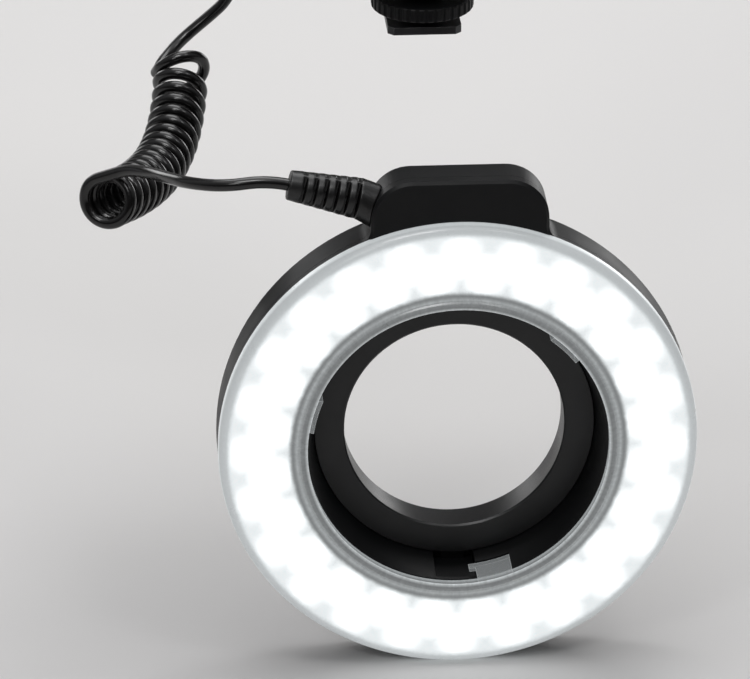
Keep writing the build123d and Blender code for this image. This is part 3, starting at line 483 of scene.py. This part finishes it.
def makeDiffuserFinish():
    material, tree, shader = newMaterial("frostedDiffuser", (0.4, 0.41, 0.42), 0.3)
    place = addPlace(tree)
    radius, turn, depth = addPolar(tree, place)
    edges = addEdges(tree, glow["edge"])
    wall = addTimes(tree, addRange(tree, radius, *glow["wall"], 1.0, 0.0),
                    addRange(tree, depth, *glow["wallDepth"], 0.0, 1.0))
    tab = addMath(tree, "MAXIMUM", addRange(tree, radius, *glow["tab"], 1.0, 0.0), wall)
    body = addMath(tree, "SUBTRACT", 1.0, tab)

    clear = addRange(tree, edges, 0.0, 1.0, *glow["tabCover"])  # the tabs are clear, the rest is frosted
    cover = addSum(tree, addTimes(tree, body, glow["veil"]), addTimes(tree, clear, tab))
    tree.links.new(cover, shader.inputs["Alpha"])

    marks = tree.nodes.new("ShaderNodeCombineXYZ")  # fine marks that run outwards from the opening
    tree.links.new(addTimes(tree, turn, glow["streaks"]), marks.inputs[0])
    tree.links.new(addTimes(tree, radius, glow["streakRows"]), marks.inputs[1])
    streak = addNoise(tree, marks.outputs[0], 1.0, 2.0)
    near = addRange(tree, radius, *glow["streakReach"], 1.0, 0.1)
    streak = addTimes(tree, addMath(tree, "SUBTRACT", streak, 0.5), near)
    # the bands' light: the LEDs' glow spread through the frosted face, with painted highlight lines at the
    # opening's edge and the outer edge
    band = addTimes(tree, addBands(tree, radius, 1), addSum(tree, 1.0, streak))

    wander = addMath(tree, "SUBTRACT", addNoise(tree, place, glow["wanderSize"], 3.0), 0.5)
    shifted = addSum(tree, radius, addTimes(tree, wander, glow["wander"]))
    shine = addShine(tree, shifted, turn)
    rows = addSum(tree, glow["gap"], addTimes(tree, shine, glow["spot"] - glow["gap"]))
    inRows = addTimes(tree, addRange(tree, shifted, *glow["rowsFrom"], 0.0, 1.0, True),
                      addRange(tree, shifted, *glow["rowsTo"], 1.0, 0.0, True))
    beside = addMath(tree, "SUBTRACT", 1.0, inRows)
    light = addSum(tree, addTimes(tree, rows, inRows), addTimes(tree, band, beside))
    light = addTimes(tree, light, addCloud(tree, place, 0.5 * mm, 0.96, 1.04))
    tabLight = addRange(tree, edges, 0.0, 1.0, *glow["tabLight"])
    light = addSum(tree, addTimes(tree, light, body), addTimes(tree, tabLight, tab))
    tree.links.new(light, shader.inputs["Emission Strength"])
    tint = addMix(tree, addRange(tree, light, 0.5, 1.0, 0.0, 1.0), (0.93, 0.985, 1.0), glow["lit"])
    tree.links.new(tint, shader.inputs["Emission Color"])

    # base grey of the face: the frosted grey, lower over the inner band as painted shade
    grey = addBands(tree, radius, 2)
    tree.links.new(addMix(tree, grey, (0.0, 0.0, 0.0), (0.95, 0.985, 1.0)), shader.inputs["Base Color"])
    shader.inputs["Coat Weight"].default_value = 0.3
    shader.inputs["Coat Roughness"].default_value = 0.15
    frost = addBump(tree, addNoise(tree, place, 0.22 * mm, 3.0), 0.006 * mm)
    tree.links.new(addBump(tree, streak, glow["streakDepth"], frost), shader.inputs["Normal"])
    rough = addCloud(tree, place, 8 * mm, 0.26, 0.36, 4.0)
    tree.links.new(rough, shader.inputs["Roughness"])
    return material


made["trayWhite"] = makeTrayFinish()
made["ledPhosphor"] = makeChipFinish()
made["frostedDiffuser"] = makeDiffuserFinish()
wear("trayWhite", "reflector_tray")
wear("ledPhosphor", "led_chips_inner", "led_chips_outer")
wear("frostedDiffuser", "diffuser")
print("lit ring finished")


# display, window and cells

display = {"dot": 0.6 * mm, "line": 0.12}  # the line is a share of a dot
cells = {"middle": 4.9 * mm, "jacket": (23.2 * mm, 23.4 * mm)}  # x of the middle, half the jacket's length


def makeWindowFinish():
    material, tree, shader = newMaterial("clearWindow", (0.92, 0.95, 0.95), 0.03)
    shader.inputs["Transmission Weight"].default_value = 1.0
    shader.inputs["IOR"].default_value = 1.49
    place = addPlace(tree)
    tree.links.new(addBump(tree, addNoise(tree, place, 7 * mm), 0.01 * mm), shader.inputs["Normal"])
    return material


def makeDisplayFinish():
    material, tree, shader = newMaterial("blankDisplay", (0.3, 0.34, 0.29), 0.25)
    place = addPlace(tree)
    split = tree.nodes.new("ShaderNodeSeparateXYZ")
    tree.links.new(place, split.inputs[0])
    lines = []
    for axis in (split.outputs[0], split.outputs[2]):
        wave = addMath(tree, "FRACT", addMath(tree, "DIVIDE", addSum(tree, axis, 1.0), display["dot"]))
        lines.append(addRange(tree, wave, 0.0, display["line"], 1.0, 0.0))
    grid = addMath(tree, "MAXIMUM", *lines)
    cloud = addCloud(tree, place, 6 * mm, 0.0, 1.0)
    base = addMix(tree, cloud, (0.30, 0.34, 0.29), (0.34, 0.38, 0.33))
    tree.links.new(addMix(tree, grid, base, (0.24, 0.275, 0.235)), shader.inputs["Base Color"])
    return material


def makeCellFinish():
    material, tree, shader = newMaterial("cellJacket", (0.05, 0.07, 0.12), 0.22)
    place = addPlace(tree)
    split = tree.nodes.new("ShaderNodeSeparateXYZ")
    tree.links.new(place, split.inputs[0])
    across = addMath(tree, "ABSOLUTE", addMath(tree, "SUBTRACT", split.outputs[0], cells["middle"]))
    bare = addRange(tree, across, *cells["jacket"], 0.0, 1.0)
    scuff = addCloud(tree, place, 3 * mm, 0.0, 1.0, 5.0)
    jacket = addMix(tree, scuff, (0.05, 0.07, 0.12), (0.06, 0.085, 0.14))
    tree.links.new(addMix(tree, bare, jacket, (0.6, 0.6, 0.6)), shader.inputs["Base Color"])
    tree.links.new(bare, shader.inputs["Metallic"])
    tree.links.new(addBump(tree, scuff, 0.01 * mm), shader.inputs["Normal"])
    return material


made["clearWindow"] = makeWindowFinish()
made["blankDisplay"] = makeDisplayFinish()
made["cellJacket"] = makeCellFinish()
wear("clearWindow", "lcd_window")
wear("blankDisplay", "lcd_module")
wear("cellJacket", "aa_cells")
print("display and cells finished")


# rubber of the cord and its strain reliefs

rubberLooks = {
    "cordRubber": {
        "colour": (0.0048, 0.0044, 0.0043), "tone": (0.0066, 0.0061, 0.0060),
        "roughness": 0.19, "spread": 0.04, "grain": 0.6 * mm, "depth": 0.007 * mm, "smearSize": 5 * mm,
        "specular": 0.55,
    },
    "bootRubber": {
        "colour": (0.0062, 0.006, 0.006), "tone": (0.0085, 0.0083, 0.0083), "edgeColour": (0.02, 0.02, 0.02),
        "roughness": 0.38, "grain": 0.25 * mm, "depth": 0.010 * mm, "edge": 0.3 * mm,
    },
}
for rubberName, rubberLook in rubberLooks.items():
    made[rubberName] = makeFinish(rubberName, rubberLook)


# the cord: one line from the head's boot through the coil to the unit's boot

cord = {
    "radius": 1.5 * mm,
    "bootEnd": (-40.614, -8.606, 66.019),
    "leadIn": 5.2,
    "coilIn": (8.2, 2.4),  # how far before the coil the lead is in line with it
    "coilOut": 1.6,
    "bootWay": (-0.975, 0.03, 0.218),
    "lead": [(-55.8, -8.0, 65.7), (-64.1, -2.4, 64.4), (-68.3, 6.7, 62.0), (-71.7, 15.8, 59.4)],
    "axis": [(-83.2, 25.3, 48.3), (-69.7, 48.7, 42.4), (-63.1, 71.8, 39.4), (-61.2, 93.4, 56.8)],
    "turns": 17.2,
    "coilRadius": 5.45,
    "pitch": 3.75,
    "spreading": 0.02,
    "mouth": 0.4,  # how much wider the first turns are
    "mouthTurns": 1.5,
    "flare": 0.25,  # and the last ones, for each turn
    "flareTurns": 1.5,
    "liftTurn": 16.3,
    "lift": 1.8,
    "tiltTurn": 16.2,  # from here the turns lean over towards the tail
    "tilt": 2.8,
    "tiltWithin": 0.6,
    "startSide": (0.0, 0.43, 0.90),
    "perTurn": 16,
    "tailIn": 4.2,
    "tail": [
        (-67.0, 95.0, 53.9), (-66.3, 98.2, 54.3), (-64.3, 101.2, 55.6), (-61.7, 103.8, 57.6),
        (-58.3, 105.6, 60.1), (-53.1, 106.5, 64.2), (-49.0, 106.5, 68.1),
    ],
    "outletWay": (-1.0, 0.0, -1.0),
    "unitBootEnd": (-42.758, 106.5, 78.757),
}


def readLine(points, order, steps):
    data = bpy.data.curves.new("measure", "CURVE")
    data.dimensions = "3D"
    spline = data.splines.new("NURBS")
    spline.points.add(len(points) - 1)
    for spot, point in zip(spline.points, points):
        spot.co = (*point, 1.0)
    spline.order_u = order
    spline.use_endpoint_u = True
    spline.resolution_u = steps
    item = addItem("measure", data)
    mesh = bpy.data.meshes.new_from_object(item)
    line = [vertex.co.copy() for vertex in mesh.vertices]
    bpy.data.objects.remove(item)
    bpy.data.meshes.remove(mesh)
    bpy.data.curves.remove(data)
    return line


def coilPoints():
    line = readLine(cord["axis"], 4, 500)
    up = Vector(cord["startSide"])
    frames = []
    length = 0.0
    for index, place in enumerate(line):
        after = line[min(index + 1, len(line) - 1)]
        before = line[max(index - 1, 0)]
        way = (after - before).normalized()
        up = (up - way * up.dot(way)).normalized()
        length += (place - before).length
        frames.append((length, place, way, up))

    def advance(turn):
        lifted = max(0.0, turn - cord["liftTurn"])
        return cord["pitch"] * turn + cord["spreading"] * turn ** 2 + cord["lift"] * lifted ** 2

    total = frames[-1][0]
    points = []
    count = round(cord["turns"] * cord["perTurn"])
    stretch = 1 / math.cos(math.pi / cord["perTurn"])  # the smooth line cuts inside its points
    for index in range(count + 1):
        turn = index / cord["perTurn"]
        reach = advance(turn) * total / advance(cord["turns"])
        length, place, way, up = min(frames, key=lambda item: abs(item[0] - reach))
        place = place + way * (reach - length)
        size = cord["coilRadius"] + cord["mouth"] * max(0.0, 1 - turn / cord["mouthTurns"]) ** 2
        size += cord["flare"] * max(0.0, turn - cord["turns"] + cord["flareTurns"])
        angle = 2 * math.pi * turn
        side = up * math.cos(angle) - way.cross(up) * math.sin(angle)
        lean = cord["tilt"] * side.x * min(1.0, max(0.0, turn - cord["tiltTurn"]) / cord["tiltWithin"])
        points.append(place + side * size * stretch + way * lean)
    return points


def makeCord():
    coil = coilPoints()
    startWay = (coil[1] - coil[0]).normalized()
    endWay = (coil[-1] - coil[-2]).normalized()
    bootWay = Vector(cord["bootWay"]).normalized()
    outletWay = Vector(cord["outletWay"]).normalized()
    out = Vector(cord["bootEnd"])
    back = Vector(cord["unitBootEnd"])
    route = [out, out + bootWay * cord["leadIn"]] + [Vector(point) for point in cord["lead"]]
    route += [coil[0] - startWay * far for far in cord["coilIn"]]
    route += coil
    route += [coil[-1] + endWay * cord["coilOut"]]
    route += [Vector(point) for point in cord["tail"]] + [back + outletWay * cord["tailIn"], back]
    data = bpy.data.curves.new("cordLine", "CURVE")
    data.dimensions = "3D"
    spline = data.splines.new("NURBS")
    spline.points.add(len(route) - 1)
    for spot, point in zip(spline.points, route):
        spot.co = (*(point * mm), 1.0)
    spline.order_u = 3
    spline.use_endpoint_u = True
    spline.resolution_u = 8
    data.bevel_depth = cord["radius"]
    data.bevel_resolution = 5
    data.use_fill_caps = True
    item = addItem("curlyCord", data)
    data.materials.append(made["cordRubber"])
    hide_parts("curly_cord", "cord_lead", "cord_tail")
    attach(item, mainBody)
    return item


curlyCord = makeCord()
print("cord wound")


# strain reliefs: rings on a core, bridged above and below, melted into one rubber piece

boot = {
    "bigRadius": 5.2,
    "smallRadius": 3.6,
    "length": 19.3,
    "root": 0.5,
    "ribs": 7,
    "slot": 0.85,
    "core": 1.75,
    "web": 1.6,  # half the thickness of what closes the windows
    "webReach": 0.9,  # these four as a share of the sleeve's radius there
    "bridge": 0.72,  # inside of the bridges above and below
    "bridgeTop": 0.93,
    "bridgeHalf": 0.33,
    "rounding": 0.32,
    "overlap": 0.3,  # how far webs and bridges reach into the ribs
    "back": 1.9,  # how far the first rib goes into the wall
    "backAtCorner": 6.5,
    "inset": 0.12,  # of the flat end in the wall
    "neck": 2.5,
    "neckLength": 2.5,
    "around": 48,
    "voxel": 0.14,
    "smoothings": 4,
}


def ringPoints(x, radius, count):
    angles = [2 * math.pi * n / count for n in range(count)]
    return [Vector((x, radius * math.cos(angle), radius * math.sin(angle))) for angle in angles]


def addTurned(mesh, profile, count):
    rows = [[mesh.verts.new(point) for point in ringPoints(x, radius, count)] for x, radius in profile]
    for low, high in zip(rows, rows[1:]):
        for n in range(count):
            mesh.faces.new((low[n], low[(n + 1) % count], high[(n + 1) % count], high[n]))
    mesh.faces.new(list(reversed(rows[0])))
    mesh.faces.new(rows[-1])


def addBlock(mesh, low, high):
    corners = [mesh.verts.new((x, y, z)) for x in (low[0], high[0]) for y in (low[1], high[1])
               for z in (low[2], high[2])]
    for loop in ((0, 1, 3, 2), (4, 6, 7, 5), (0, 4, 5, 1), (2, 3, 7, 6), (0, 2, 6, 4), (1, 5, 7, 3)):
        mesh.faces.new([corners[n] for n in loop])


def makeBoot(name, start, way, inner, replaced, wall, corner=None):
    mesh = bmesh.new()
    pitch = boot["length"] / (boot["ribs"] + 0.5)
    taper = (boot["smallRadius"] - boot["bigRadius"]) / boot["length"]
    back = boot["backAtCorner"] if corner else boot["back"]
    root, around, soft, lap = boot["root"], boot["around"], boot["rounding"], boot["overlap"]

    def radiusAt(x):
        return boot["bigRadius"] + taper * max(0.0, x - boot["root"])

    addTurned(mesh, [(root, boot["core"]), (root + boot["length"] - 0.02, boot["core"])], around)
    for index in range(boot["ribs"]):
        low = root + pitch * (index + 0.1) + boot["slot"] / 2 if index else root - back
        high = root + pitch * (index + 1.1) - boot["slot"] / 2
        if index == boot["ribs"] - 1:
            high = root + boot["length"]
        profile = [(low, radiusAt(low) - soft), (low + soft * 0.3, radiusAt(low) - soft * 0.3),
                   (low + soft, radiusAt(low)), (high - soft, radiusAt(high)),
                   (high - soft * 0.3, radiusAt(high) - soft * 0.3), (high, radiusAt(high) - soft)]
        addTurned(mesh, profile, around)
        if index < boot["ribs"] - 1:
            nextLow = high + boot["slot"]
            reach = radiusAt(high)
            tall = boot["webReach"] * reach
            addBlock(mesh, (high - lap, -boot["web"], -tall), (nextLow + lap, boot["web"], tall))
            for side in (-1, 1):
                zs = sorted((side * reach * boot["bridge"], side * reach * boot["bridgeTop"]))
                half = reach * boot["bridgeHalf"]
                addBlock(mesh, (high - lap, -half, zs[0]), (nextLow + lap, half, zs[1]))
    way = Vector(way).normalized()
    side = Vector((0, 0, 1)).cross(way).normalized()
    up = way.cross(side)
    turn = Matrix((way, side, up)).transposed()
    wall = Vector(wall).normalized()
    for vertex in mesh.verts:
        vertex.co = turn @ vertex.co
        short = boot["inset"] - vertex.co.dot(wall)
        if corner:  # the wall turns away above the foot of its rounded corner
            over = min(max(0.0, vertex.co.z - corner["foot"]), 0.97 * corner["radius"])
            short -= corner["radius"] - math.sqrt(corner["radius"] ** 2 - over ** 2)
        if short > 0:
            vertex.co += wall * short  # flat against the wall
    neck = len(mesh.verts)
    addTurned(mesh, [(-inner, boot["neck"]), (boot["neckLength"], boot["neck"])], around)
    mesh.verts.ensure_lookup_table()
    for vertex in mesh.verts[neck:]:
        vertex.co = turn @ vertex.co
    for vertex in mesh.verts:
        vertex.co = (vertex.co + Vector(start)) * mm
    bmesh.ops.recalc_face_normals(mesh, faces=mesh.faces)
    rough = addItem(name + "Rough", finishMesh(mesh, name))
    melt = rough.modifiers.new("melt", "REMESH")
    melt.mode = "VOXEL"
    melt.voxel_size = boot["voxel"] * mm
    melt.use_smooth_shade = True
    soften = rough.modifiers.new("soften", "SMOOTH")
    soften.factor = 0.5
    soften.iterations = boot["smoothings"]
    bpy.context.view_layer.update()
    shaped = bpy.data.meshes.new_from_object(rough.evaluated_get(bpy.context.evaluated_depsgraph_get()))
    bpy.data.objects.remove(rough)
    shaped.name = name
    shaped.materials.clear()
    shaped.materials.append(made["bootRubber"])
    item = addItem(name, shaped)
    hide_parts(replaced)
    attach(item, mainBody)
    return item


towerCorner = {"radius": 10.0, "foot": -3.2}
headBoot = makeBoot("headBoot", (-21.3, -9.2, 61.7), cord["bootWay"], 3.0, "head_boot",
                    (-1, 0, 0), towerCorner)
unitBoot = makeBoot("unitBoot", (-28.757, 106.5, 92.757), cord["outletWay"], 3.0, "unit_boot", (-1, 0, -1))
print("strain reliefs melted")


# the catch's spring, wound here

spring = {
    "radius": 1.7,
    "wire": 0.4,
    "turns": 5,
    "perTurn": 28,
    "around": 10,
    "pressed": 1.8,  # the catch's travel
}


def makeSpring():
    low, high = (Vector(corner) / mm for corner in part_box("catch_spring"))
    foot = Vector(((low.x + high.x) / 2, (low.y + high.y) / 2, low.z))
    thick = spring["wire"] / 2
    length = high.z - low.z
    count = spring["turns"] * spring["perTurn"]
    mesh = bmesh.new()
    rows = []
    for index in range(count + 1):
        angle = 2 * math.pi * index / spring["perTurn"]
        out = Vector((math.cos(angle), math.sin(angle), 0.0))
        rise = thick + (length - spring["wire"]) * index / count
        middle = foot + out * spring["radius"] + Vector((0.0, 0.0, rise))
        row = []
        for n in range(spring["around"]):
            turn = 2 * math.pi * n / spring["around"]
            offset = out * thick * math.cos(turn) + Vector((0.0, 0.0, thick * math.sin(turn)))
            row.append(mesh.verts.new((middle + offset) * mm))
        rows.append(row)
    for before, after in zip(rows, rows[1:]):
        for n in range(spring["around"]):
            other = (n + 1) % spring["around"]
            mesh.faces.new((before[n], before[other], after[other], after[n]))
    mesh.faces.new(list(reversed(rows[0])))
    mesh.faces.new(rows[-1])
    bmesh.ops.recalc_face_normals(mesh, faces=mesh.faces)
    data = finishMesh(mesh, "catchSpring")
    for face in data.polygons:
        face.use_smooth = len(face.vertices) == 4
    data.materials.append(made["springSteel"])
    item = addItem("catchSpring", data)
    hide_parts("catch_spring")
    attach(item, mainBody)
    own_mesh(item)


makeSpring()
print("spring wound")


# moulded signs on the four keys

keys = {
    "row": 127.0,
    "face": 134.7,
    "spacing": 14.0,
    "high": 0.16,
    "sunk": 0.1,
    "rounding": 0.07,
    "stroke": 0.9,
    "arm": 2.1,
    "square": 2.0,
    "post": 2.6,
}


def makeSign(name, shapes, x, body):
    mesh = bmesh.new()
    for width, height in shapes:
        addBlock(mesh, (x - width / 2, keys["face"] - keys["sunk"], keys["row"] - height / 2),
                 (x + width / 2, keys["face"] + keys["high"], keys["row"] + height / 2))
    for vertex in mesh.verts:
        vertex.co = vertex.co * mm
    bmesh.ops.recalc_face_normals(mesh, faces=mesh.faces)
    data = finishMesh(mesh, name)
    data.materials.append(made["legendGrey"])
    item = addItem(name, data)
    rounding = item.modifiers.new("round", "BEVEL")
    rounding.width = keys["rounding"] * mm
    rounding.segments = 2
    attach(item, body)


bar = (2 * keys["arm"], keys["stroke"])
makeSign("minusSign", [bar], -0.5 * keys["spacing"], "minus_key")
makeSign("plusSign", [bar, (keys["stroke"], 2 * keys["arm"])], 0.5 * keys["spacing"], "plus_key")
makeSign("modeSign", [(keys["square"], keys["square"])], -1.5 * keys["spacing"], "mode_key")
makeSign("testSign", [(keys["stroke"], keys["post"])], 1.5 * keys["spacing"], "test_key")
print("keys signed")


# studio: pale floor that bends up behind, soft lamps

studio = {
    "floorHeight": -0.0586,
    "floorColour": (0.81, 0.798, 0.785),
    "floorCloud": (0.79, 0.78, 0.775),
    "cloudSize": 0.3,
    "floorHalf": 4.0,
    "floorFront": -3.0,
    "bendStart": 1.6,  # y where the floor starts to bend up
    "bendRadius": 0.8,
    "bendSteps": 8,
    "wallTop": 4.0,
    "world": (0.97, 0.975, 1.0),
    "front": 0.03,  # light from the side of the camera
    "back": 0.42,
    "between": (-0.9, 1.0),
    "lamps": [  # name, place, aim, width, height, power, whether dull surfaces get its light too
        ("backBox", (0.05, 0.55, 0.8), (-0.05, 0.35, -0.06), 0.7, 0.7, 5.0, True),
        ("leftBox", (-0.5, -0.85, 0.8), (-0.02, 0.0, 0.02), 0.22, 0.22, 1.0, True),
        ("rightBox", (0.4, -0.5, 1.0), (0.0, 0.0, 0.02), 0.22, 0.22, 0.7, True),
        ("topBox", (-0.12, -0.06, 1.1), (-0.02, 0.0, 0.0), 0.9, 0.9, 2.0, True),
        ("cordBox", (-0.22, -0.45, 1.0), (-0.07, 0.04, 0.05), 0.36, 0.24, 2.6, False),
        ("leftEdge", (-0.5, 0.8, 0.22), (-0.03, 0.0, 0.02), 0.3, 0.3, 0.8, False),
        ("rightEdge", (0.55, 0.8, 0.12), (0.03, 0.0, 0.03), 0.3, 0.3, 1.0, False),
    ],
}


def makeFloor():
    mesh = bmesh.new()
    start, bend, half = studio["bendStart"], studio["bendRadius"], studio["floorHalf"]
    line = [(studio["floorFront"], 0.0), (start, 0.0)]
    for n in range(1, studio["bendSteps"] + 1):
        angle = math.radians(90 * n / studio["bendSteps"])
        line.append((start + bend * math.sin(angle), bend - bend * math.cos(angle)))
    line.append((start + bend, studio["wallTop"]))
    rows = []
    for y, z in line:
        rows.append([mesh.verts.new((x, y, z + studio["floorHeight"])) for x in (-half, half)])
    for low, high in zip(rows, rows[1:]):
        mesh.faces.new((low[0], low[1], high[1], high[0]))
    data = finishMesh(mesh, "floor")
    for face in data.polygons:
        face.use_smooth = True
    material, tree, shader = newMaterial("paleFloor", studio["floorColour"], 0.5, specular=0.0)
    place = addPlace(tree)
    cloud = addCloud(tree, place, studio["cloudSize"], 0.0, 1.0)
    colour = addMix(tree, cloud, studio["floorColour"], studio["floorCloud"])
    tree.links.new(colour, shader.inputs["Base Color"])
    data.materials.append(material)
    item = addItem("floor", data)


def makeLamps():
    for name, place, aim, width, height, power, onDull in studio["lamps"]:
        data = bpy.data.lights.new(name, "AREA")
        data.shape = "RECTANGLE"
        data.size = width
        data.size_y = height
        data.energy = power
        item = addItem(name, data)
        item.location = place
        item.rotation_euler = (Vector(aim) - Vector(place)).to_track_quat("-Z", "Y").to_euler()
        item.visible_diffuse = onDull


def makeWorld():
    world = bpy.data.worlds.new("studio")
    world.use_nodes = True
    tree = world.node_tree
    way = tree.nodes.new("ShaderNodeTexCoord").outputs["Generated"]
    split = tree.nodes.new("ShaderNodeSeparateXYZ")
    tree.links.new(way, split.inputs[0])
    share = addSum(tree, split.outputs[1], split.outputs[2])
    strength = addRange(tree, share, *studio["between"], studio["front"], studio["back"], True)
    background = tree.nodes["Background"]
    background.inputs[0].default_value = (*studio["world"], 1.0)
    tree.links.new(strength, background.inputs[1])
    bpy.context.scene.world = world


makeFloor()
makeLamps()
makeWorld()
bpy.context.scene.view_settings.view_transform = "Standard"
print("studio lit")
